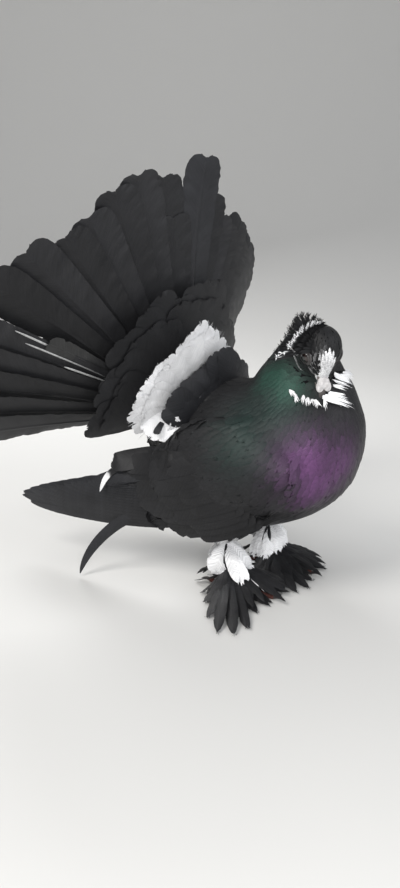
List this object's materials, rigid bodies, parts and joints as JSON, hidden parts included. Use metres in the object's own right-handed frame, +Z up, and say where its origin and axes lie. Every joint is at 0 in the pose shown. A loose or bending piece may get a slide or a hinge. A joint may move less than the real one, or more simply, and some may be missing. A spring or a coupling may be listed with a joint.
{
  "type": "fantail pigeon, life-size still model",
  "caption": "A life-size still model of a black crested fantail pigeon with muffed feet, its tail spread in a tall fan and its chin tucked on its breast.",
  "frame": {"origin": "middle of the model's box in plan, on the floor that the feet stand on", "axes": "+X is the way the bird faces, +Y its left, across the spread tail, and +Z up"},
  "size_m": [0.2438, 0.328, 0.2824],
  "materials": {
    "body_feathers": "black plumage with a purple gloss on the breast",
    "neck_feathers": "black plumage with a green gloss on the sides of the neck",
    "head_feathers": "black plumage with a white blaze and a white-edged crest",
    "tail_feathers": "charcoal black tail feathers, their coverts tipped with a white band",
    "wing_feathers": "matt black flight feathers and coverts",
    "leg_feathers": "soft white and black thigh feathers",
    "foot_feathers": "black and white muff feathers over pink-grey toes",
    "bill_horn": "pale horn with a dark tip",
    "cere_skin": "powdery white soft skin",
    "eye_glass": "glossy dark eye with a brown iris",
    "claw_horn": "dark horn"
  },
  "bodies": {
    "root": {"torso": "body_feathers", "neck": "neck_feathers", "head": "head_feathers", "bill_upper": "bill_horn", "bill_lower": "bill_horn", "cere": "cere_skin", "eye_right": "eye_glass", "eye_left": "eye_glass", "tail_middle": "tail_feathers", "tail_right": "tail_feathers", "tail_left": "tail_feathers", "wing_right": "wing_feathers", "wing_left": "wing_feathers", "leg_right": "leg_feathers", "leg_left": "leg_feathers", "foot_right": "foot_feathers", "foot_left": "foot_feathers", "claw_right_1": "claw_horn", "claw_right_2": "claw_horn", "claw_right_3": "claw_horn", "claw_right_4": "claw_horn", "claw_left_1": "claw_horn", "claw_left_2": "claw_horn", "claw_left_3": "claw_horn", "claw_left_4": "claw_horn"}
  },
  "joints": []
}
